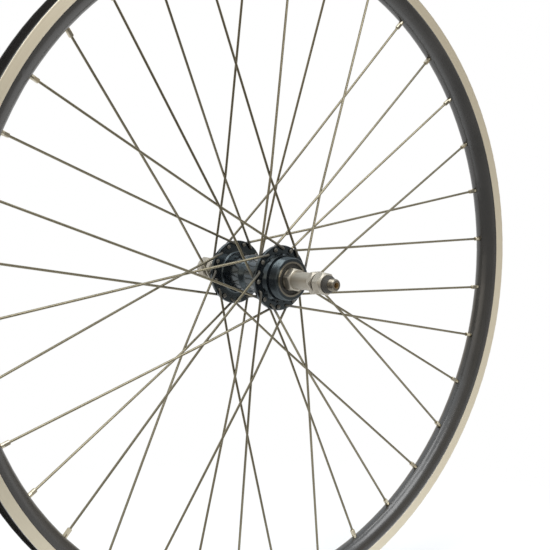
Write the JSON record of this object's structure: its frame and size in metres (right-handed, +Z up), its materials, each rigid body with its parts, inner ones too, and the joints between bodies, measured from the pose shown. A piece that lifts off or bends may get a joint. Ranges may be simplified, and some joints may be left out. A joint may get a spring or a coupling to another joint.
{
  "type": "bicycle wheel",
  "caption": "Bicycle rear wheel: black double-wall rim with silver brake tracks, steel spokes laced three-cross to a black hub with a freewheel thread and a nutted axle.",
  "frame": {"origin": "the middle of the rim, on the axle's axis", "axes": "+Y along the axle from the drive side to the far side, +Z up, +X forward as seen from the drive side"},
  "size_m": [0.571, 0.174, 0.571],
  "materials": {
    "black_rim": "satin",
    "black_hub": "gloss",
    "stainless": "satin",
    "nickel_brass": "gloss",
    "plated_steel": "satin",
    "axle_steel": "satin",
    "bearing_steel": "polished",
    "seal_plastic": "matte",
    "ring_rubber": "matte",
    "tape_rubber": "matte"
  },
  "bodies": {
    "axle_set": {"axle": "axle_steel", "keeper_ring": "ring_rubber", "drive_cone": "plated_steel", "drive_spacer": "plated_steel", "drive_locknut": "plated_steel", "drive_axle_nut": "plated_steel", "far_cone": "plated_steel", "far_spacer": "plated_steel", "far_locknut": "plated_steel", "far_axle_nut": "plated_steel"},
    "wheel": {"rim": "black_rim", "rim_tape": "tape_rubber", "nipples": "nickel_brass", "hub_shell": "black_hub", "drive_cup": "bearing_steel", "far_cup": "bearing_steel", "drive_dust_cap": "seal_plastic", "far_dust_cap": "seal_plastic", "spoke_01": "stainless", "spoke_02": "stainless", "spoke_03": "stainless", "spoke_04": "stainless", "spoke_05": "stainless", "spoke_06": "stainless", "spoke_07": "stainless", "spoke_08": "stainless", "spoke_09": "stainless", "spoke_10": "stainless", "spoke_11": "stainless", "spoke_12": "stainless", "spoke_13": "stainless", "spoke_14": "stainless", "spoke_15": "stainless", "spoke_16": "stainless", "spoke_17": "stainless", "spoke_18": "stainless", "spoke_19": "stainless", "spoke_20": "stainless", "spoke_21": "stainless", "spoke_22": "stainless", "spoke_23": "stainless", "spoke_24": "stainless", "spoke_25": "stainless", "spoke_26": "stainless", "spoke_27": "stainless", "spoke_28": "stainless", "spoke_29": "stainless", "spoke_30": "stainless", "spoke_31": "stainless", "spoke_32": "stainless", "spoke_33": "stainless", "spoke_34": "stainless", "spoke_35": "stainless", "spoke_36": "stainless"},
    "drive_ball_set": {"drive_balls": "bearing_steel"},
    "far_ball_set": {"far_balls": "bearing_steel"}
  },
  "joints": [
    {"name": "wheel_spin", "type": "hinge", "parent": "axle_set", "child": "wheel", "pos_m": [0, 0, 0], "axis": [0, 1, 0], "continuous": true},
    {"name": "drive_ball_orbit", "type": "hinge", "parent": "axle_set", "child": "drive_ball_set", "pos_m": [0, -0.0303, 0], "axis": [0, 1, 0], "continuous": true},
    {"name": "far_ball_orbit", "type": "hinge", "parent": "axle_set", "child": "far_ball_set", "pos_m": [0, 0.0371, 0], "axis": [0, 1, 0], "continuous": true}
  ],
  "couplings": [
    {"joint": "drive_ball_orbit", "follows": "wheel_spin", "ratio": 0.6181},
    {"joint": "far_ball_orbit", "follows": "wheel_spin", "ratio": 0.6181}
  ]
}
